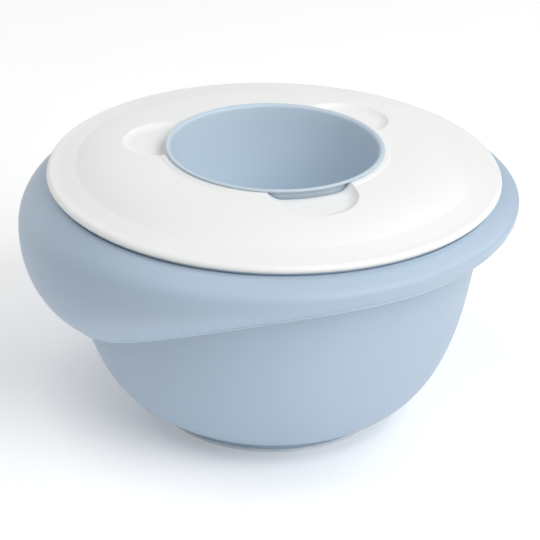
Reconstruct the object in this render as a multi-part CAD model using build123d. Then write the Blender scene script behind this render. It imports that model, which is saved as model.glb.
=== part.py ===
from build123d import *
import math
import os

# A mixing bowl that is held by a deep rounded lobe on one side. A ring-shaped splash lid rests on its rim,
# and a filler cup hangs in the lid's hole. Millimetres, +Z up. The origin is the centre of the foot, on the
# surface that the bowl stands on, and the lobe points to -X.

# ---- overall ----
rim_height = 129.0        # from the table to the flat top of the bowl's rim, where the lid rests
lid_radius = 115.0        # outer edge of the splash lid

# ---- bowl ----
bowl_wall = 2.2           # moulded thickness of the wall
bowl_floor = 2.6          # thickness of the flat floor
wall_draft = 8.75         # degrees that the upper wall leans outwards
belly_height = 80.0       # where the straight upper wall turns into the belly
belly_slope = 21.2        # degrees, how steeply the belly leaves the foot
belly_foot_pull = 19.6    # how far the belly's curve follows that slope
belly_top_pull = 60.0     # how far it follows the upper wall
foot_radius = 59.8        # outer radius of the foot
foot_width = 5.8          # radial width of the foot
foot_height = 4.0         # gap under the floor
floor_inset = 10.0        # how far inside the foot the flat floor ends
foot_lap = 1.6            # how far the foot's wall runs up into the belly
belly_inset = 3.2         # how far inside the foot's edge the belly's line starts

# ---- rim of the bowl ----
lid_overhang = 2.4        # how far the lid stands out past the rim
rim_thickness = 2.0
rim_reach = 1.8           # from the collar's seat to the rim's edge
seat_height = 8.0         # straight band under the rim that the collar's neck sits on
seat_step = 0.4           # how far that band stands out from the upper wall
bead_height = 0.8         # small bead under the neck, which keeps the collar on
bead_width = 0.6
bead_run = 2.4            # sloped lead-in under the bead
wall_bite = 1.0           # how deep an added ring is rooted in the wall

# ---- foot ring ----
pad_height = 2.2          # soft ring between the foot and the table
pad_round = 0.9
rib_width = 2.0           # rib of the soft ring, held in a groove in the foot
rib_height = 1.3

# ---- grip collar ----
collar_wall = 2.2
neck_wall = 2.0
rim_gap = 0.7             # between the rim's edge and the collar's top edge
top_drop = 1.8            # the collar's top edge lies this far below the rim's top
shoulder_slope = 33.3     # degrees, how the collar leaves its top edge
shoulder_pull = 0.353     # shape of the shoulder, as shares of its chord and its drop
shoulder_round = 0.5
band_reach = 11.0         # widest point of the narrow side, out from the top edge
lobe_reach = 16.4         # widest point of the lobe
band_drop = 8.2           # how far below the rim's top the widest point lies
lobe_drop = 26.2
reach_power = 3.2         # how sharply the lobe swells towards its middle
band_depth = 25.3         # from the rim's top down to the collar's lower edge
lobe_depth = 72.0
depth_power = 3.5         # how sharply the lower edge falls towards the lobe
depth_dip = 0.32          # how much it first rises beside the lobe
edge_angle = 61.8         # degrees from the vertical at which the wall runs in to its lower edge
edge_standoff = 5.3       # from the bowl's wall to the outside of that edge
side_pull = 0.49          # shape of the side below its widest point, on the narrow side
lobe_side_pull = 0.61     # and on the lobe
hem_pull = 0.084
lobe_hem_pull = 0.132
section_step = 15         # degrees between the collar's sections
spare_sections = 2        # sections past each end of the mirror plane
halvings = 40             # steps in finding the bowl's radius at a height

# ---- splash lid ----
lid_wall = 2.2
lip_height = 3.0          # height of the lid's edge
lip_round = 2.5
crease_inset = 14.7       # from the lid's edge in to the faint crease round the dome
crease_height = 5.8
dome_slope = 22.0         # degrees, at which the dome rises inside the crease
dome_pull = 14.0
crown_slope = 3.0         # degrees, at which it reaches the raised ring
crown_pull = 18.0
skirt_play = 0.4          # between the lid's skirt and the bowl's wall
skirt_depth = 7.0
skirt_wall = 2.0

# ---- filler cup and the ring it hangs in ----
cup_rim_radius = 55.4
cup_rim_lift = 15.5       # the cup's rim stands this far above the bowl's rim
cup_rim_thickness = 1.4
cup_rim_reach = 2.0       # how far the rim stands out past the cup's wall
cup_rim_round = 0.6
mouth_width = 2.6         # of the rim's flat top
mouth_lean = 14.0         # degrees that the mouth's inner side leans in at its top
flare_height = 12.0       # from the rim's top down to where the inner side takes up the wall's taper
flare_pull = 4.0
cup_wall = 1.3
cup_floor = 2.0
cup_depth = 64.0          # outside, from the rim's top to the bottom
cup_draft = 7.0           # degrees
cup_corner = 16.0         # outer radius between the wall and the floor
cup_play = 0.3            # between the cup's wall and the lid's hole
ring_reach = 1.9          # how far the raised ring stands out past the cup's rim
ring_step = 1.3           # how far the ring rises out of the dome beside it
ring_step_height = 0.6

# ---- finger scoops ----
scoop_count = 3
scoop_radius = 24.3
scoop_offset = 4.2        # from the hole's edge out to the scoop's centre
scoop_round = 9.0         # between the scoop's floor and its wall
scoop_clear = 3.95        # height for a fingertip under the cup's rim
first_scoop = 35.9        # degrees, anticlockwise from +X


# ---- values that follow from the sizes above ----
edge_radius = lid_radius - lid_overhang + rim_gap       # the collar's top edge
flange_radius = lid_radius - lid_overhang
seat_radius = flange_radius - rim_reach
wall_top_radius = seat_radius - seat_step
bore_radius = cup_rim_radius - cup_rim_reach + cup_play
ring_top = rim_height + cup_rim_lift - cup_rim_thickness
crease_radius = lid_radius - crease_inset
scoop_centre = bore_radius + scoop_offset
lean = math.tan(math.radians(wall_draft))


def along(angle, length):
    """A step in the (radius, height) plane, of this length, at this many degrees above the outward way."""
    return length * math.cos(math.radians(angle)), length * math.sin(math.radians(angle))


def shifted(point, step):
    return point[0] + step[0], point[1] + step[1]


def turned(points, angle=0):
    """Points of the (radius, height) plane, turned about the axis by an angle in degrees."""
    c, s = math.cos(math.radians(angle)), math.sin(math.radians(angle))
    return [Vector(r * c, r * s, z) for r, z in points]


def line(a, b, angle=0):
    return Edge.make_line(*turned([a, b], angle))


def curve(points, angle=0):
    return Edge.make_bezier(*turned(points, angle))


def polyline(points):
    return [line(a, b) for a, b in zip(points, points[1:])]


def revolved(edges):
    """A solid of revolution from a closed outline in the (radius, height) plane."""
    return Solid.revolve(Face(Wire(edges)), 360, Axis.Z)


def ring(inner, outer, low, high):
    corners = [(inner, low), (outer, low), (outer, high), (inner, high), (inner, low)]
    return revolved(polyline(corners))


def one_solid(shape):
    solids = shape.solids()
    assert len(solids) == 1, f"{len(solids)} solids instead of one"
    return solids[0]


# ---- the bowl's outline ----
def wall_radius(height):
    """Outer radius of the straight upper wall at a height."""
    return wall_top_radius - (rim_height - height) * lean


def belly(inset=0.0):
    """Control points of the belly's outline, from the foot up to the straight wall, moved in by a wall."""
    top = (wall_radius(belly_height) - inset / math.cos(math.radians(wall_draft)), belly_height)
    above = shifted(top, along(90 - wall_draft, -belly_top_pull))
    if inset:
        start = (foot_radius - floor_inset - bowl_wall, foot_height + bowl_floor)
        return [start, shifted(start, along(0, floor_inset + belly_foot_pull - inset)), above, top]
    start = (foot_radius - belly_inset, foot_height)
    return [start, shifted(start, along(belly_slope, belly_foot_pull)), above, top]


def bezier_point(points, t):
    weights = [(1 - t) ** 3, 3 * t * (1 - t) ** 2, 3 * t * t * (1 - t), t ** 3]
    return tuple(sum(w * p[i] for w, p in zip(weights, points)) for i in (0, 1))


def bowl_radius(height):
    """Outer radius of the bowl at a height, found by halving the belly's curve."""
    if height >= belly_height:
        return wall_radius(height)
    low, high = 0.0, 1.0
    for _ in range(halvings):
        middle = (low + high) / 2
        if bezier_point(belly(), middle)[1] < height:
            low = middle
        else:
            high = middle
    return bezier_point(belly(), low)[0]


def make_bowl():
    outer, inner = belly(), belly(bowl_wall)
    rim_inside = (wall_top_radius - bowl_wall / math.cos(math.radians(wall_draft)), rim_height)
    rim_outside = (wall_top_radius, rim_height)
    shell = revolved(
        [line((0, foot_height), outer[0]), curve(outer)]
        + polyline([outer[3], rim_outside, rim_inside, inner[3]])
        + [curve(inner[::-1])]
        + polyline([inner[0], (0, inner[0][1]), (0, foot_height)])
    )
    foot = ring(foot_radius - foot_width, foot_radius, pad_height, foot_height + foot_lap)
    return one_solid((shell + foot + make_rim()) - make_rib())


def make_rim():
    """The flat rim, the straight seat below it, and the bead that keeps the collar on, rooted in the wall."""
    flange_low = rim_height - rim_thickness
    seat_low = flange_low - seat_height
    bead_low = seat_low - bead_height
    root_low = bead_low - bead_run
    return revolved(polyline([
        (wall_radius(root_low) - wall_bite, root_low),
        (seat_radius + bead_width, bead_low),
        (seat_radius + bead_width, seat_low),
        (seat_radius, seat_low),
        (seat_radius, flange_low),
        (flange_radius, flange_low),
        (flange_radius, rim_height),
        (wall_top_radius - wall_bite, rim_height),
        (wall_radius(root_low) - wall_bite, root_low),
    ]))


def make_rib():
    """The rib of the soft ring, which is also the groove in the foot."""
    middle = foot_radius - foot_width / 2
    return ring(middle - rib_width / 2, middle + rib_width / 2, pad_height, pad_height + rib_height)


def make_foot_ring():
    pad = ring(foot_radius - foot_width, foot_radius, 0, pad_height)
    pad = fillet(pad.edges().filter_by(GeomType.CIRCLE).group_by(Axis.Z)[0], pad_round)
    return one_solid(pad + make_rib())


# ---- grip collar ----
def collar_outline(angle):
    """Control points of the collar's outside at an angle from +X: the shoulder, then the side below it."""
    towards_lobe = (1 - math.cos(math.radians(angle))) / 2
    swell = towards_lobe ** reach_power
    fall = (1 + depth_dip) * towards_lobe ** depth_power - depth_dip * towards_lobe
    top = (edge_radius, rim_height - top_drop)
    widest = (edge_radius + band_reach + (lobe_reach - band_reach) * swell,
              rim_height - band_drop - (lobe_drop - band_drop) * swell)
    hem_height = rim_height - band_depth - (lobe_depth - band_depth) * fall
    hem = (bowl_radius(hem_height) + edge_standoff, hem_height)
    shoulder = [
        top,
        shifted(top, along(-shoulder_slope, shoulder_pull * math.dist(top, widest))),
        shifted(widest, along(90, shoulder_round * (top[1] - widest[1]))),
        widest,
    ]
    side = side_pull + (lobe_side_pull - side_pull) * swell
    tuck = hem_pull + (lobe_hem_pull - hem_pull) * swell
    lower = [
        widest,
        shifted(widest, along(-90, side * (widest[1] - hem_height))),
        shifted(hem, along(90 - edge_angle, tuck * math.dist(widest, hem))),
        hem,
    ]
    return shoulder, lower


def inside(points, first_angle, last_angle):
    """A curve's control points moved in by the collar's wall, square to the curve at each end."""
    first, last = along(first_angle, collar_wall), along(last_angle, collar_wall)
    return [shifted(point, step) for point, step in zip(points, (first, first, last, last))]


def collar_section(angle):
    shoulder, lower = collar_outline(angle)
    shoulder_in = inside(shoulder, -90 - shoulder_slope, 180)
    lower_in = inside(lower, 180, 180 - edge_angle)
    return Wire([
        curve(shoulder, angle),
        curve(lower, angle),
        line(lower[3], lower_in[3], angle),
        curve(lower_in[::-1], angle),
        curve(shoulder_in[::-1], angle),
        line(shoulder_in[0], shoulder[0], angle),
    ])


def make_grip_collar():
    """One half of the shell is lofted past both ends of the mirror plane, cut there, and mirrored."""
    last_section = 180 // section_step + spare_sections
    sections = [collar_section(index * section_step) for index in range(-spare_sections, last_section + 1)]
    reach = edge_radius + lobe_reach + lid_overhang
    half_space = Pos(0, reach / 2, rim_height / 2) * Box(2 * reach, reach, 2 * rim_height)
    half = one_solid(Solid.make_loft(sections) & half_space)
    neck_top = rim_height - rim_thickness
    neck = ring(seat_radius, seat_radius + neck_wall, neck_top - seat_height, neck_top)
    return one_solid(half + half.mirror(Plane.XZ) + neck)


# ---- splash lid ----
def lid_top():
    """Edges of the lid's upper side, from its outer edge in to the hole, and the height at which they end."""
    lip = rim_height + lip_height
    round_start = (lid_radius, lip - lip_round)
    round_end = (lid_radius - lip_round, lip)
    round_middle = shifted((lid_radius - lip_round, lip - lip_round), along(45, lip_round))
    crease = (crease_radius, rim_height + crease_height)
    ring_edge = cup_rim_radius + ring_reach
    ring_foot = (ring_edge + ring_step, ring_top - ring_step_height)
    dome = [
        crease,
        shifted(crease, along(180 - dome_slope, dome_pull)),
        shifted(ring_foot, along(-crown_slope, crown_pull)),
        ring_foot,
    ]
    return [
        line((lid_radius, rim_height), round_start),
        Edge.make_three_point_arc(*turned([round_start, round_middle, round_end])),
        line(round_end, crease),
        curve(dome),
        line(ring_foot, (ring_edge, ring_top)),
        line((ring_edge, ring_top), (bore_radius, ring_top)),
    ], dome


def make_scoop(grow=0.0):
    """A round dish with a rounded foot, standing on the scoops' floor, made larger by a wall's thickness."""
    radius, rounding = scoop_radius + grow, scoop_round + grow
    low = ring_top - scoop_clear - grow
    high = low + rounding + scoop_clear
    corner = (radius - rounding, low + rounding)
    arc = [(corner[0], low), shifted(corner, along(-45, rounding)), (radius, corner[1])]
    dish = revolved(
        [line((0, low), arc[0]), Edge.make_three_point_arc(*turned(arc))]
        + polyline([arc[2], (radius, high), (0, high), (0, low)])
    )
    return Pos(scoop_centre, 0, 0) * dish


def scoops(grow=0.0):
    return [
        Rot(0, 0, first_scoop + index * 360 / scoop_count) * make_scoop(grow)
        for index in range(scoop_count)
    ]


def make_splash_lid():
    top, dome = lid_top()
    skirt_outer = wall_top_radius - bowl_wall - skirt_play
    skirt_low = rim_height - skirt_depth
    skirt_tip = skirt_outer - skirt_depth * lean
    under = [(r, z - lid_wall) for r, z in dome]
    skirt_inner = skirt_outer - skirt_wall
    lip_slope = (crease_height - lip_height) / (lid_radius - lip_round - crease_radius)
    skirt_root = (skirt_inner, under[0][1] - (skirt_inner - crease_radius) * lip_slope)
    hole_low = (bore_radius, under[3][1])
    shell = revolved(
        top + [line((bore_radius, ring_top), hole_low), line(hole_low, under[3]), curve(under[::-1])]
        + [line(under[0], skirt_root)]
        + polyline([skirt_root, (skirt_tip - skirt_wall, skirt_low), (skirt_tip, skirt_low),
                    (skirt_outer, rim_height), (lid_radius, rim_height)])
    )
    deep = rim_height - skirt_depth
    below_top = revolved(top + polyline([
        (bore_radius, ring_top), (0, ring_top), (0, deep), (lid_radius, deep), (lid_radius, rim_height),
    ]))
    for dish in scoops(lid_wall):
        shell += dish & below_top
    for dish in scoops():
        shell -= dish
    hole = ring(0, bore_radius, deep, ring_top + cup_rim_lift)
    return one_solid(shell - hole)


# ---- filler cup ----
def make_filler_cup():
    top = rim_height + cup_rim_lift
    neck_radius = cup_rim_radius - cup_rim_reach
    bottom = top - cup_depth
    narrow = math.tan(math.radians(cup_draft))
    base_radius = neck_radius - (ring_top - bottom) * narrow
    outside = revolved(polyline([(0, bottom), (base_radius, bottom), (neck_radius, ring_top), (0, ring_top),
                                 (0, bottom)]))
    outside = fillet(outside.edges().filter_by(GeomType.CIRCLE).group_by(Axis.Z)[0], cup_corner)
    rim = ring(0, cup_rim_radius, ring_top, top)
    rim = fillet(rim.edges().filter_by(GeomType.CIRCLE), cup_rim_round)
    floor = bottom + cup_floor
    flare_low = top - flare_height
    mouth = (cup_rim_radius - mouth_width, top)
    throat = (neck_radius - cup_wall - (ring_top - flare_low) * narrow, flare_low)
    inner_base = base_radius + cup_floor * narrow - cup_wall
    flare = [mouth, shifted(mouth, along(-90 - mouth_lean, flare_pull)),
             shifted(throat, along(90 - cup_draft, flare_pull)), throat]
    hollow = revolved(
        [curve(flare)] + polyline([throat, (inner_base, floor), (0, floor), (0, top), mouth])
    )
    hollow = fillet(hollow.edges().filter_by(GeomType.CIRCLE).group_by(Axis.Z)[0], cup_corner - cup_wall)
    return one_solid((outside + rim) - hollow)


parts = {
    "bowl": make_bowl(),
    "foot_ring": make_foot_ring(),
    "grip_collar": make_grip_collar(),
    "splash_lid": make_splash_lid(),
    "filler_cup": make_filler_cup(),
}

os.makedirs("parts", exist_ok=True)
for node, solid in parts.items():
    solid.label = node
    export_step(solid, f"parts/{node}.step")
    print(f"{node}: {solid.volume / 1000:.1f} cm3")
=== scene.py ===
import math

import bpy
import numpy as np
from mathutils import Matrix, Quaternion, Vector


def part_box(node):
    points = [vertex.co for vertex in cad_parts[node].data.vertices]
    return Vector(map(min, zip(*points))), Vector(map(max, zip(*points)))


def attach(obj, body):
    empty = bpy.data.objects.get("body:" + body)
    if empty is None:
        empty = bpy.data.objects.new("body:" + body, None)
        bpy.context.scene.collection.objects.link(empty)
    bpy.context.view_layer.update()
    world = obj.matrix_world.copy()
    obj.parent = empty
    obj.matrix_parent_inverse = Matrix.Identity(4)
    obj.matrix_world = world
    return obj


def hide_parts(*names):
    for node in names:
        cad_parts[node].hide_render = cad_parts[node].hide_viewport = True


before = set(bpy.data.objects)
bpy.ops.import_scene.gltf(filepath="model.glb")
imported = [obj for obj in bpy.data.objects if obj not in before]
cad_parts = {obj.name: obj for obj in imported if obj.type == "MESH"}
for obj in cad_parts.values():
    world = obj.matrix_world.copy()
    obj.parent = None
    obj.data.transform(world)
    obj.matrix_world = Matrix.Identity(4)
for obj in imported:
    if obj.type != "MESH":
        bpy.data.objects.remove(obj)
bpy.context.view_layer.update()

# Sizes are in millimetres and angles in degrees. Heights are above the table, and the lobe points to -X.
MM = 0.001


# ---- camera ----
# It looks down on the bowl from a little to the lobe's side, through a long lens, and is tilted a touch so
# that the bowl's right side sits lower in the picture.
camera_turn = -13.8
camera_rise = 26.4
camera_tilt = 1.47
camera_distance = 1265.0
camera_target = Vector((-0.9, 0.2, 74.1))
lens = 163.3
sensor = 36.0

turn, rise = math.radians(camera_turn), math.radians(camera_rise)
backwards = Vector((math.sin(turn) * math.cos(rise), -math.cos(turn) * math.cos(rise), math.sin(rise)))
camera = bpy.data.objects.new("camera", bpy.data.cameras.new("camera"))
camera.data.lens, camera.data.sensor_width = lens, sensor
camera.location = (camera_target + backwards * camera_distance) * MM
tilt = Quaternion((0, 0, 1), math.radians(camera_tilt))
camera.rotation_euler = ((-backwards).to_track_quat("-Z", "Y") @ tilt).to_euler()
bpy.context.scene.collection.objects.link(camera)
bpy.context.scene.camera = camera


# ---- studio: lights ----
# Soft boxes stand round the bowl. The strongest are in front, on the right and high over the left, and low
# ones behind it draw a light edge round the plastic. A dim white room fills the rest.
room_glow = 0.12


def add_node(tree, kind, inputs=(), **properties):
    """Adds one shader node with its properties. Each input is given a value, or is linked to an output."""
    made = tree.nodes.new(kind)
    for name, value in properties.items():
        setattr(made, name, value)
    for socket, value in dict(inputs).items():
        if isinstance(value, bpy.types.NodeSocket):
            tree.links.new(value, made.inputs[socket])
        else:
            made.inputs[socket].default_value = value
    return made


def linear(code):
    """An sRGB hex colour as linear red, green, blue and alpha, by the sRGB standard's formula."""
    srgb = np.array([int(code[i:i + 2], 16) for i in (1, 3, 5)]) / 255
    rgb = np.where(srgb <= 0.04045, srgb / 12.92, ((srgb + 0.055) / 1.055) ** 2.4)
    return (*rgb.tolist(), 1.0)


def soft_box(name, turned, raised, watts):
    """A square area light, at an angle round the bowl and an angle above the table, aimed at its middle."""
    distance, width = 1500.0, 900.0
    a, e = math.radians(turned), math.radians(raised)
    way = Vector((math.sin(a) * math.cos(e), -math.cos(a) * math.cos(e), math.sin(e)))
    light = bpy.data.lights.new(name, "AREA")
    light.size, light.energy = width * MM, watts
    holder = bpy.data.objects.new(name, light)
    holder.location = (camera_target + way * distance) * MM
    holder.rotation_euler = (-way).to_track_quat("-Z", "Y").to_euler()
    bpy.context.scene.collection.objects.link(holder)


soft_box("light_front", 24, 40, 9.2)
soft_box("light_low_front", 25, 8, 0.8)
soft_box("light_right", 50, 40, 4.8)
soft_box("light_high_right", 45, 65, 1.4)
soft_box("light_far_right", 108, 40, 5.6)
soft_box("light_high_left", -15, 65, 1.4)
soft_box("light_overhead_left", -85, 66, 6.6)
soft_box("light_far_left", -135, 12, 3.2)
soft_box("light_back_left", -165, 12, 1.6)
soft_box("light_back_right", 165, 12, 1.8)

room = bpy.data.worlds.new("room")
room.use_nodes = True
room.node_tree.nodes.clear()
glow = add_node(room.node_tree, "ShaderNodeBackground", {"Color": linear("#ffffff"), "Strength": room_glow})
add_node(room.node_tree, "ShaderNodeOutputWorld", {"Surface": glow.outputs["Background"]})
bpy.context.scene.world = room
bpy.context.scene.view_settings.view_transform = "Standard"


# ---- studio: floor ----
# A plain white board of painted fibre that the bowl stands on, wide enough to fill every view.
floor_half = 6000.0
floor_grain = 60.0                # size of the board's faint unevenness
floor_glow = 0.18                 # the board is lit from behind a little, which keeps the shadow on it pale
floor_roughness = 0.9
floor_height = -0.05              # just under the foot, so that the two faces don't lie in one plane

floor_mesh = bpy.data.meshes.new("floor")
floor_corners = np.array([(-1, -1), (1, -1), (1, 1), (-1, 1)]) * floor_half
floor_mesh.from_pydata([(x * MM, y * MM, floor_height * MM) for x, y in floor_corners], [], [(0, 1, 2, 3)])
floor = bpy.data.objects.new("floor", floor_mesh)
bpy.context.scene.collection.objects.link(floor)

white_board = bpy.data.materials.new("white_board")
white_board.use_nodes = True
tree = white_board.node_tree
tree.nodes.clear()
place = add_node(tree, "ShaderNodeTexCoord")
cloud = add_node(tree, "ShaderNodeTexNoise", {
    "Vector": place.outputs["Object"], "Scale": 1 / (floor_grain * MM)})
tone = add_node(tree, "ShaderNodeMix", {"Factor": cloud.outputs["Fac"]}, data_type="RGBA")
tone.inputs["A"].default_value, tone.inputs["B"].default_value = linear("#f6f6f6"), linear("#f9f9f9")
paint = add_node(tree, "ShaderNodeBsdfPrincipled", {
    "Base Color": tone.outputs["Result"], "Roughness": floor_roughness,
    "Emission Color": linear("#ffffff"), "Emission Strength": floor_glow})
add_node(tree, "ShaderNodeOutputMaterial", {"Surface": paint.outputs["BSDF"]})
floor_mesh.materials.append(white_board)


# ---- bowl ----
# The inner bowl, injection moulded in one piece from grey-blue polypropylene: a round belly on a low foot, a
# straight upper wall, and under the rim a seat and a small bead that hold the grip collar.
def corners(node):
    """A CAD node's lowest and highest corner, in millimetres."""
    return [np.array(corner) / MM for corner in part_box(node)]


rim_height = corners("bowl")[1][2]
foot_radius = 59.8
foot_width = 5.8
foot_height = 4.0
foot_start = 56.6                 # radius at which the belly's line starts, inside the foot
foot_corner = 1.2                 # radius of the hollow between foot and belly
rib_height, rib_half_width = 1.3, 1.0
pad_height = corners("foot_ring")[1][2] - rib_height
rib_top = pad_height + rib_height
rib_inner = foot_radius - foot_width / 2 - rib_half_width
rib_outer = foot_radius - foot_width / 2 + rib_half_width
bowl_wall = 2.2
floor_wall, floor_inset = 2.6, 12.2
floor_top = foot_height + floor_wall
floor_radius = foot_radius - floor_inset
belly_height = 80.0
belly_slope = 21.2
belly_foot_pull, belly_top_pull = 19.6, 60.0
wall_draft = 8.75
flange_radius = corners("bowl")[1][0]
flange_reach = 1.8
rim_thickness = 2.0
seat_radius = flange_radius - flange_reach
seat_height, seat_step = 8.0, 0.4
wall_top_radius = seat_radius - seat_step
bead_reach = 0.6
bead_radius = seat_radius + bead_reach
bead_height = 0.8
bead_run = 2.4
edge_round, groove_round = 0.5, 0.3
turn_count = 360                  # steps round the axis
belly_steps, belly_stride = 400, 6
pole_radius = 2                   # the outline starts and ends this far from the axis
run_gap = 1                       # a straight run starts this far from the curve that it follows
rim_gap = 2                       # the inner wall's run starts this far below the rim


def leaning(height):
    """Radius of the upper wall, a cone that leans outwards, at a height."""
    return wall_top_radius - (rim_height - height) * math.tan(math.radians(wall_draft))


def step(angle, length):
    """A step of this length, at this angle above the outward direction, as a change of radius and height."""
    angle = np.radians(angle)
    return np.stack([np.cos(angle) * length, np.sin(angle) * length], axis=-1)


def bezier(points, count, start=0.0):
    """Points of a cubic Bezier curve: each control point is weighed by its Bernstein polynomial of t, which
    runs from start to 1. Control points may be arrays of pairs, and the steps are then the first axis."""
    t = np.linspace(start, 1, count)
    weights = [(1 - t) ** 3, 3 * t * (1 - t) ** 2, 3 * t * t * (1 - t), t ** 3]
    return sum(np.multiply.outer(weight, np.asarray(point, float)) for weight, point in zip(weights, points))


def straight(first, last, count):
    """Evenly spaced points from the first towards the last, which is left out."""
    first, last = np.asarray(first, float), np.asarray(last, float)
    return first + np.multiply.outer(np.linspace(0, 1, count, endpoint=False), last - first)


def rounded(before, corner, after, radius, count=6):
    """A corner between two straight runs as an arc: its ends lie on the runs at radius * tan(half the turn),
    and a Bezier curve joins them whose pulls are 4/3 * tan(a quarter of the turn) * radius."""
    before, corner, after = (np.asarray(p, float) for p in (before, corner, after))
    into = (corner - before) / np.linalg.norm(corner - before, axis=-1, keepdims=True)
    out = (after - corner) / np.linalg.norm(after - corner, axis=-1, keepdims=True)
    bend = np.arccos(np.clip((into * out).sum(-1, keepdims=True), -1, 1))
    reach = radius * np.tan(bend / 2)
    pull = 4 / 3 * np.tan(bend / 4) * radius
    first, last = corner - into * reach, corner + out * reach
    return bezier([first, first + into * pull, last - out * pull, last], count)


def round_the_axis(outline, turns):
    """A grid of points: the outline of (radius, height) pairs carried round the axis. A point at radius r and
    turn a lies at (r cos a, r sin a)."""
    if outline.ndim == 2:
        outline = np.repeat(outline[:, None, :], len(turns), axis=1)
    radius, height = outline[..., 0], outline[..., 1]
    return np.stack([radius * np.cos(turns), radius * np.sin(turns), height], axis=-1)


def make_skin(name, grid, poles=()):
    """A closed mesh on a grid of points, a row for each place along the outline and a column for each turn.
    Four neighbours make a face. The rows close on themselves, or end at two poles on the axis, in triangles."""
    rows, columns = grid.shape[:2]
    here = np.arange(rows * columns).reshape(rows, columns)
    beside = np.roll(here, -1, axis=1)
    if len(poles):
        quads = np.stack([here[:-1], beside[:-1], beside[1:], here[1:]], axis=-1)
        first, last = np.full(columns, rows * columns), np.full(columns, rows * columns + 1)
        caps = np.stack([np.stack([first, beside[0], here[0]], axis=-1),
                         np.stack([last, here[-1], beside[-1]], axis=-1)])
        points = np.concatenate([grid.reshape(-1, 3), [(0, 0, height) for height in poles]])
        faces = quads.reshape(-1, 4).tolist() + caps.reshape(-1, 3).tolist()
    else:
        quads = np.stack([here, beside, np.roll(beside, -1, axis=0), np.roll(here, -1, axis=0)], axis=-1)
        points, faces = grid.reshape(-1, 3), quads.reshape(-1, 4).tolist()
    mesh = bpy.data.meshes.new(name)
    mesh.from_pydata((points * MM).tolist(), [], faces)
    mesh.shade_smooth()
    piece = bpy.data.objects.new(name, mesh)
    bpy.context.scene.collection.objects.link(piece)
    return piece


def satin_plastic(name, light, dark, roughness, grain, relief):
    """Plastic or elastomer from a spark-eroded mould. The pigment is a little uneven, in clouds of a few
    centimetres. A fine even grain breaks up reflections, so that they are soft with no sharp edge, and the
    gloss changes slightly where hands and cloths have polished the grain."""
    cloud_size, rub_size, rub_change = 45.0, 14.0, 0.03
    material = bpy.data.materials.new(name)
    material.use_nodes = True
    tree = material.node_tree
    tree.nodes.clear()
    place = add_node(tree, "ShaderNodeTexCoord").outputs["Object"]
    cloud = add_node(tree, "ShaderNodeTexNoise", {
        "Vector": place, "Scale": 1 / (cloud_size * MM), "Detail": 1.0})
    tone = add_node(tree, "ShaderNodeMix", {"Factor": cloud.outputs["Fac"]}, data_type="RGBA")
    tone.inputs["A"].default_value, tone.inputs["B"].default_value = linear(light), linear(dark)
    rub = add_node(tree, "ShaderNodeTexNoise", {"Vector": place, "Scale": 1 / (rub_size * MM), "Detail": 3.0})
    gloss = add_node(tree, "ShaderNodeMapRange", {
        "Value": rub.outputs["Fac"], "From Min": 0.3, "From Max": 0.7,
        "To Min": roughness - rub_change, "To Max": roughness + rub_change})
    pits = add_node(tree, "ShaderNodeTexNoise", {"Vector": place, "Scale": 1 / (grain * MM), "Detail": 2.0})
    bump = add_node(tree, "ShaderNodeBump", {
        "Height": pits.outputs["Fac"], "Strength": 0.5, "Distance": relief * MM})
    skin = add_node(tree, "ShaderNodeBsdfPrincipled", {
        "Base Color": tone.outputs["Result"], "Roughness": gloss.outputs["Result"], "IOR": 1.49,
        "Normal": bump.outputs["Normal"]})
    add_node(tree, "ShaderNodeOutputMaterial", {"Surface": skin.outputs["BSDF"]})
    return material


def finish_piece(piece, material, body, node):
    """Gives the piece its material, hangs it under its CAD body's empty, and hides the CAD node that it stands
    in for.
    """
    piece.data.materials.append(material)
    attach(piece, body)
    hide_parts(node)


turns = np.radians(np.arange(turn_count) * 360 / turn_count)
foot_inner = foot_radius - foot_width
belly_line = [
    (foot_start, foot_height),
    np.add((foot_start, foot_height), step(belly_slope, belly_foot_pull)),
    np.add((leaning(belly_height), belly_height), step(90 - wall_draft, -belly_top_pull)),
    (leaning(belly_height), belly_height),
]
full_belly = bezier(belly_line, belly_steps)
belly = full_belly[full_belly[:, 0] > foot_radius + foot_corner][::belly_stride]
foot_top = (foot_radius, belly[0, 1] - (belly[0, 0] - foot_radius) * math.tan(math.radians(belly_slope)))
inner_top = (leaning(belly_height) - bowl_wall / math.cos(math.radians(wall_draft)), belly_height)
inner_foot_pull = foot_radius - floor_radius - bowl_wall + belly_foot_pull - bowl_wall
inner_belly = bezier([
    (floor_radius, floor_top),
    np.add((floor_radius, floor_top), step(0, inner_foot_pull)),
    np.add(inner_top, step(90 - wall_draft, -belly_top_pull)),
    inner_top,
], 60)
rim_inside = (wall_top_radius - bowl_wall / math.cos(math.radians(wall_draft)), rim_height)
flange_low = rim_height - rim_thickness
seat_low = flange_low - seat_height
bead_low = seat_low - bead_height
bead_foot = (leaning(bead_low - bead_run), bead_low - bead_run)
wall_low, wall_high = belly_height + run_gap, rim_height - rim_gap
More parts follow.
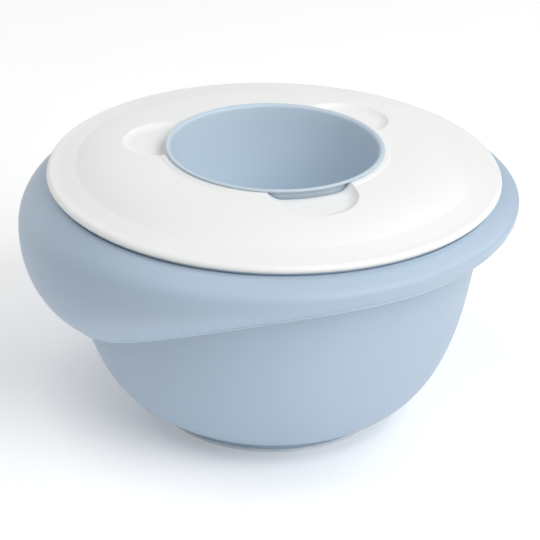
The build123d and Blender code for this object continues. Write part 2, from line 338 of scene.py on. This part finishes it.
bowl_outline = np.concatenate([
    straight((pole_radius, foot_height), (foot_inner, foot_height), 12),
    rounded((0, foot_height), (foot_inner, foot_height), (foot_inner, pad_height), edge_round),
    rounded((foot_inner, foot_height), (foot_inner, pad_height), (rib_inner, pad_height), groove_round),
    [(rib_inner, pad_height), (rib_inner, rib_top), (rib_outer, rib_top), (rib_outer, pad_height)],
    rounded((rib_outer, pad_height), (foot_radius, pad_height), foot_top, edge_round),
    rounded((foot_radius, pad_height), foot_top, belly[1], foot_corner),
    belly,
    straight((leaning(wall_low), wall_low), bead_foot, 12),
    [bead_foot, (bead_radius, bead_low), (bead_radius, seat_low)],
    [(seat_radius, seat_low), (seat_radius, flange_low)],
    rounded((seat_radius, flange_low), (flange_radius, flange_low), (flange_radius, rim_height), edge_round),
    rounded((flange_radius, flange_low), (flange_radius, rim_height), rim_inside, edge_round),
    rounded((flange_radius, rim_height), rim_inside, inner_top, edge_round),
    straight((leaning(wall_high) - bowl_wall, wall_high), inner_top, 20),
    inner_belly[::-1],
    straight((floor_radius - run_gap, floor_top), (pole_radius, floor_top), 12),
])
bowl = make_skin("mixing_bowl", round_the_axis(bowl_outline, turns), poles=(foot_height, floor_top))
blue = satin_plastic("blue_polypropylene", "#abbdcf", "#adbfd1", roughness=0.45, grain=0.35, relief=0.01)
finish_piece(bowl, blue, "bowl", "bowl")


# ---- foot ring ----
# A soft ring of thermoplastic elastomer, moulded on under the foot so that the bowl doesn't slide. A rib
# holds it in a groove in the foot, and its lower edges are rounded.
pad_round = 0.9
pad_lip = 0.4
rib_root, rib_round = 0.1, 0.2

pad_corners = [(foot_inner, 0), (foot_radius, 0), (foot_radius, pad_height), (rib_outer, pad_height),
               (rib_outer, rib_top), (rib_inner, rib_top), (rib_inner, pad_height), (foot_inner, pad_height)]
pad_rounds = [pad_round, pad_round, pad_lip, rib_root, rib_round, rib_round, rib_root, pad_lip]
pad_outline = np.concatenate([
    rounded(pad_corners[i - 1], pad_corners[i], pad_corners[(i + 1) % len(pad_corners)], pad_rounds[i])
    for i in range(len(pad_corners))
])
pad = make_skin("foot_pad", round_the_axis(pad_outline, turns))
# The pad's very pale tone is partly its own colour and partly painted light, which lifts the shade under the
# bowl's belly.
soft = satin_plastic("soft_elastomer_partly_painted_light", "#e6ecf1", "#e8eef2", roughness=0.7, grain=0.5, relief=0.02)
finish_piece(pad, soft, "bowl", "foot_ring")


# ---- grip collar ----
# The outer shell round the rim, moulded in one piece from the same polypropylene and pushed on from below
# until it snaps under the rim. It is a rolled band that swells and drops into a deep lobe to hold the bowl by.
collar_wall = 2.2
neck_wall = 2.0
top_drop = 1.8
edge_reach = 0.7
edge_radius = flange_radius + edge_reach
shoulder_slope = 33.3
shoulder_pull, shoulder_round = 0.353, 0.5
band_reach, lobe_reach = 11.0, 16.4
band_drop, lobe_drop = 8.2, 26.2
band_depth, lobe_depth = 25.3, 72.0
reach_power, depth_power, depth_dip = 3.2, 3.5, 0.32
edge_angle = 61.8
edge_standoff = 5.3
band_side_pull, lobe_side_pull = 0.49, 0.61
band_hem_pull, lobe_hem_pull = 0.084, 0.132
top_round = 0.5
hem_round, hem_back_round = 0.4, 0.6
neck_drop = 1.5                   # the shell's inner face meets the neck this far below the rim's flange
neck_outer_round, neck_inner_round = 0.5, 0.3
bead_back, bead_proud = 1.0, 0.7  # the fine bead along the hem starts this far up the side and is this proud
bead_foot_round, bead_edge_round = 0.1, 0.15


def pair(radius, height):
    """Radius and height as the last axis of one array."""
    return np.stack(np.broadcast_arrays(radius, height), axis=-1)


def apart(first, last):
    """Distances between two rows of points."""
    return np.linalg.norm(last - first, axis=-1)


towards_lobe = (1 - np.cos(turns)) / 2
swell = towards_lobe ** reach_power
fall = (1 + depth_dip) * towards_lobe ** depth_power - depth_dip * towards_lobe
hem_height = rim_height - band_depth - (lobe_depth - band_depth) * fall
bowl_side = np.concatenate([full_belly, [(wall_top_radius, rim_height)]])
hem = pair(np.interp(hem_height, bowl_side[:, 1], bowl_side[:, 0]) + edge_standoff, hem_height)
top = pair(edge_radius, np.full(turn_count, rim_height - top_drop))
widest = pair(edge_radius + band_reach + (lobe_reach - band_reach) * swell,
              rim_height - band_drop - (lobe_drop - band_drop) * swell)
side_pull = band_side_pull + (lobe_side_pull - band_side_pull) * swell
hem_pull = band_hem_pull + (lobe_hem_pull - band_hem_pull) * swell
shoulder_line = [
    top,
    top + step(-shoulder_slope, shoulder_pull * apart(top, widest)),
    widest + step(90, shoulder_round * (top - widest)[:, 1]),
    widest,
]
side_line = [
    widest,
    widest + step(-90, side_pull * (widest - hem)[:, 1]),
    hem + step(90 - edge_angle, hem_pull * apart(widest, hem)),
    hem,
]
inwards = [step(angle, collar_wall) for angle in (-90 - shoulder_slope, 180, 180 - edge_angle)]
shoulder_inside = [p + inwards[i] for p, i in zip(shoulder_line, (0, 0, 1, 1))]
side_inside = [p + inwards[i] for p, i in zip(side_line, (1, 1, 2, 2))]
neck_inner, neck_outer = seat_radius, seat_radius + neck_wall
neck_corners = [pair(r, np.full(turn_count, z)) for r, z in
                ((neck_outer, flange_low - neck_drop), (neck_outer, seat_low), (neck_inner, seat_low),
                 (neck_inner, flange_low), (neck_outer, flange_low))]

# Each curve gives up the points at its ends that lie within the roundings of its corners.
shoulder = bezier(shoulder_line, 40)
side = bezier(side_line, 60)[1:-5]
inner_hem, *side_back = bezier(side_inside, 40)[::-1]
shoulder_back = bezier(shoulder_inside, 24)[-2:7:-1]
bead_start = hem + step(90 - edge_angle, bead_back)
bead_edge = bead_start + step(-edge_angle, bead_proud)
hem_edge = hem + step(-edge_angle, bead_proud)
face = np.concatenate([rounded(neck_corners[3], top, shoulder[3], top_round), shoulder[2:], side])
bead = np.concatenate([rounded(side[-1], bead_start, bead_edge, bead_foot_round),
                       rounded(bead_start, bead_edge, hem_edge, bead_edge_round)])
collar_outline = np.concatenate([
    face,
    bead,
    rounded(bead_edge, hem_edge, inner_hem, hem_round),
    rounded(hem_edge, inner_hem, side_back[2], hem_back_round),
    side_back[2:],
    shoulder_back,
    [neck_corners[0]],
    rounded(neck_corners[0], neck_corners[1], neck_corners[2], neck_outer_round),
    rounded(neck_corners[1], neck_corners[2], neck_corners[3], neck_inner_round),
    [neck_corners[3], neck_corners[4]],
])
collar = make_skin("grip_shell", round_the_axis(collar_outline[::-1], turns))
collar_blue = satin_plastic("collar_polypropylene", "#abbdcf", "#adbfd1",
                            roughness=0.45, grain=0.35, relief=0.01)
finish_piece(collar, collar_blue, "bowl", "grip_collar")

# The bead is the same plastic painted a paler blue, a painted highlight that makes the edge show as a fine
# light line. The mesh's rows run against the outline, so the bead's rows of faces are counted from the end.
bead_painted_highlight = satin_plastic("bead_painted_highlight_polypropylene", "#dcedfa", "#deeffb", roughness=0.45, grain=0.35, relief=0.01)
collar.data.materials.append(bead_painted_highlight)
strips = np.zeros(collar_outline.shape[:2], int)
strips[-1 - len(face) - len(bead):-1 - len(face)] = 1
collar.data.polygons.foreach_set("material_index", strips.ravel())


# ---- splash lid ----
# A ring-shaped lid moulded from white polypropylene. It lies loose on the rim, centred by a skirt inside the
# wall. A raised ring carries the cup, and three scoops give a fingertip room under the cup's rim.
lid_radius = corners("splash_lid")[1][0]
ring_top = corners("splash_lid")[1][2]
lid_wall = 2.2
lip_height, lip_round = 3.0, 2.5
crease_inset, crease_height = 14.7, 5.8
crease_round = 6.0
dome_slope, dome_pull = 22.0, 14.0
crown_slope, crown_pull = 3.0, 18.0
cup_rim_radius = corners("filler_cup")[1][0]
bore_inset = 1.7
bore_radius = cup_rim_radius - bore_inset
bore_round, bore_steps = 0.5, 4
ring_reach = 1.9
ring_edge = cup_rim_radius + ring_reach
ring_step, ring_step_height = 1.3, 0.6
ring_round, ring_foot_round = 0.6, 1.0
skirt_play, skirt_depth, skirt_wall = 0.4, 7.0, 2.0
skirt_round, skirt_root_round = 0.6, 1.0
lip_edge_round = 0.4
dome_margin = 12                  # points of the dome's line given up to the rounding at each end
dome_stride = 4                   # every fourth point of the rest is enough
first_scoop = 35.9
scoop_count = 3
scoop_radius = 24.3
scoop_offset = 4.2
scoop_centre = bore_radius + scoop_offset
scoop_round = 9.0
scoop_clear = 3.95                # depth of the scoop's floor under the cup's rim
scoop_floor = ring_top - scoop_clear
scoop_cliff = 10                  # the dish climbs this steeply past its wall, out of the dome's way
scoop_brim = 0.3                  # how softly the scoop's edge turns into the dome
scoop_half = 23.6                 # half the angle that a scoop takes up at the hole
under_brim = 1.0                  # the same on the lid's underside
scoop_steps, plain_steps = 96, 60
floor_rows, dome_rows, under_rows = 30, 44, 40
floor_crowd, dome_crowd = 1.6, 1.9  # powers that crowd the rows towards the scoop's edge
halvings = 30
dome_clear = 4.0                  # the scoops' rows end this far beyond them
dome_gap, crease_gap = 0.5, 0.3   # least space before the dome's first row and after its last
under_gap = 2.0                   # the underside's rows start this far inside the skirt

crease_radius = lid_radius - crease_inset
lip_top = rim_height + lip_height
lip_inner = (lid_radius - lip_round, lip_top)
crease = (crease_radius, rim_height + crease_height)
ring_foot = (ring_edge + ring_step, ring_top - ring_step_height)
dome = bezier([
    ring_foot,
    np.add(ring_foot, step(-crown_slope, crown_pull)),
    np.add(crease, step(180 - dome_slope, dome_pull)),
    crease,
], 160)
slope_down = rounded(dome[-dome_margin], crease, lip_inner, crease_round, 10)
lid_line = np.concatenate([
    [(bore_radius, ring_top)],
    rounded((bore_radius, ring_top), (ring_edge, ring_top), ring_foot, ring_round, 8),
    rounded((ring_edge, ring_top), ring_foot, dome[dome_margin], ring_foot_round, 8),
    dome[dome_margin:-dome_margin],
    slope_down,
    [lip_inner],
])


def dish(distance, grow):
    """Height of a scoop's surface at a distance from its centre: a flat floor, then a quarter circle that
    climbs to the wall. Grown by a wall's thickness, it is the scoop's underside."""
    rounding, radius = scoop_round + grow, scoop_radius + grow
    out = np.clip(distance - (radius - rounding), 0, rounding)
    past = np.maximum(distance - radius, 0)
    return scoop_floor - grow + rounding - np.sqrt(rounding ** 2 - out ** 2) + past * scoop_cliff


def lower_of(first, second, softness):
    """The lower of two heights, blended where they cross: the mean less half the root of gap squared plus
    softness squared."""
    return (first + second - np.sqrt((first - second) ** 2 + softness ** 2)) / 2


def from_scoop(radius, off_centre):
    """Distance to the nearest scoop's centre, from the law of cosines."""
    return np.sqrt(radius ** 2 + scoop_centre ** 2 - 2 * radius * scoop_centre * np.cos(off_centre))


def dome_height(radius):
    """Height of the lid's upper face at a radius, away from the scoops."""
    return np.interp(radius, lid_line[:, 0], lid_line[:, 1])


# Columns crowd towards both sides of each scoop, where its edge runs out towards the lid's rim.
across = scoop_half * np.sin(np.linspace(-1, 1, scoop_steps) * math.pi / 2)
between = np.linspace(scoop_half, 360 / scoop_count - scoop_half, plain_steps + 2)[1:-1]
one_third = np.radians(np.concatenate([across, between]))
beyond = one_third > math.pi / scoop_count
off_centre = np.tile(np.where(beyond, one_third - 2 * math.pi / scoop_count, one_third), scoop_count)
thirds = np.repeat(np.arange(scoop_count), len(one_third)) * 2 * math.pi / scoop_count
lid_turns = np.tile(one_third, scoop_count) + thirds + math.radians(first_scoop)

# The radius at which each column leaves its scoop, by halving; a column beside a scoop leaves it at the hole.
near, far = np.full(len(lid_turns), bore_radius), np.full(len(lid_turns), scoop_centre + scoop_radius)
for _ in range(halvings):
    middle = (near + far) / 2
    within = dish(from_scoop(middle, off_centre), 0) < dome_height(middle)
    near, far = np.where(within, middle, near), np.where(within, far, middle)
leaves = np.maximum(near, bore_radius + 2 * bore_round)

dome_start = scoop_centre + scoop_radius + dome_clear
floor_share = 1 - (1 - np.linspace(0, 1, floor_rows)) ** floor_crowd
dome_share = np.linspace(0, 1, dome_rows)[1:] ** dome_crowd
bore_turn = np.linspace(0, math.pi / 2, bore_steps + 1)[:-1]
radii = np.concatenate([
    np.repeat((bore_radius + bore_round * (1 - np.cos(bore_turn)))[:, None], len(lid_turns), axis=1),
    bore_radius + bore_round + np.outer(floor_share, leaves - bore_radius - bore_round),
    leaves + np.outer(dome_share, dome_start - leaves),
])
drops = np.zeros(len(radii))
drops[:bore_steps] = bore_round * (1 - np.sin(bore_turn))
upper = pair(radii, lower_of(dome_height(radii), dish(from_scoop(radii, off_centre), 0), scoop_brim)
             - drops[:, None])
outer_dome = (dome[:, 0] > dome_start + dome_gap) & (dome[:, 0] < slope_down[0, 0] - crease_gap)
rest = np.concatenate([
    dome[outer_dome][::dome_stride],
    slope_down,
    straight(slope_down[-1], lip_inner, 6)[1:],
    rounded(slope_down[-1], (lid_radius, lip_top), (lid_radius, rim_height), lip_round, 12),
])
skirt_outer = wall_top_radius - bowl_wall - skirt_play
skirt_tip = skirt_outer - skirt_depth * math.tan(math.radians(wall_draft))
skirt_low = rim_height - skirt_depth
skirt_root = (skirt_outer - skirt_wall, dome_height(skirt_outer - skirt_wall) - lid_wall)
skirt_end = (skirt_tip - skirt_wall, skirt_low)
under_crease = (crease_radius, dome_height(crease_radius) - lid_wall)
skirt = np.concatenate([
    rounded(lip_inner, (lid_radius, rim_height), (skirt_outer, rim_height), lip_edge_round),
    [(skirt_outer, rim_height)],
    rounded((skirt_outer, rim_height), (skirt_tip, skirt_low), skirt_end, skirt_round),
    rounded((skirt_tip, skirt_low), skirt_end, skirt_root, skirt_round),
    rounded(skirt_end, skirt_root, under_crease, skirt_root_round),
])
under_radii = np.repeat(np.linspace(skirt_root[0] - under_gap, bore_radius, under_rows)[:, None],
                        len(lid_turns), axis=1)
under = pair(under_radii, lower_of(dome_height(under_radii) - lid_wall,
                                   dish(from_scoop(under_radii, off_centre), lid_wall), under_brim))
fixed = np.repeat(np.concatenate([rest, skirt])[:, None, :], len(lid_turns), axis=1)
lid_grid = round_the_axis(np.concatenate([upper, fixed, under]), lid_turns)
lid = make_skin("splash_lid_shell", lid_grid[::-1])
white = satin_plastic("white_polypropylene", "#ecedec", "#eeefee", roughness=0.42, grain=0.35, relief=0.01)
finish_piece(lid, white, "lid", "splash_lid")


# ---- filler cup ----
# A thin-walled tapered cup moulded from grey-blue polypropylene. It hangs by its rim in the lid's hole and
# stops it, and it lifts out so that beaters or more ingredients can go in.
cup_low, cup_high = corners("filler_cup")
cup_rim_reach = 2.0
cup_neck = cup_rim_radius - cup_rim_reach
cup_wall, cup_floor_wall = 1.3, 2.0
cup_draft = 7.0
cup_corner = 16.0
cup_rim_round, mouth_round = 0.6, 2.0
mouth_width, mouth_lean = 2.6, 14.0
flare_height, flare_pull = 12.0, 4.0
cup_top, cup_bottom = cup_high[2], cup_low[2]

narrow = math.tan(math.radians(cup_draft))
cup_base = cup_neck - (ring_top - cup_bottom) * narrow
cup_floor = cup_bottom + cup_floor_wall
cup_inner_base = cup_base + cup_floor_wall * narrow - cup_wall
flare_low = cup_top - flare_height
mouth = (cup_rim_radius - mouth_width, cup_top)
throat = (cup_neck - cup_wall - (ring_top - flare_low) * narrow, flare_low)
flare = bezier([
    mouth,
    np.add(mouth, step(-90 - mouth_lean, flare_pull)),
    np.add(throat, step(90 - cup_draft, flare_pull)),
    throat,
], 14)
wall_outside = rounded((0, cup_bottom), (cup_base, cup_bottom), (cup_neck, ring_top), cup_corner, 24)
wall_inside = rounded(throat, (cup_inner_base, cup_floor), (0, cup_floor), cup_corner - cup_wall, 24)
cup_outline = np.concatenate([
    straight((pole_radius, cup_bottom), wall_outside[0], 10),
    wall_outside,
    straight(wall_outside[-1], (cup_neck, ring_top), 16)[1:],
    [(cup_neck, ring_top)],
    rounded((cup_neck, ring_top), (cup_rim_radius, ring_top), (cup_rim_radius, cup_top), cup_rim_round),
    rounded((cup_rim_radius, ring_top), (cup_rim_radius, cup_top), mouth, cup_rim_round),
    rounded((cup_rim_radius, cup_top), flare[0], flare[2], mouth_round),
    flare[2:],
    straight(throat, wall_inside[0], 16)[1:],
    wall_inside,
    straight(wall_inside[-1], (pole_radius, cup_floor), 10)[1:],
])
cup = make_skin("filler_cup_shell", round_the_axis(cup_outline, turns), poles=(cup_bottom, cup_floor))
# The cup is the bowl's grey-blue plastic, painted a paler blue here: painted light that brightens its shaded
# inside.
cup_blue_painted_light = satin_plastic("cup_polypropylene_painted_light", "#c1d0dd", "#c3d2de", roughness=0.45, grain=0.35, relief=0.01)
finish_piece(cup, cup_blue_painted_light, "cup", "filler_cup")
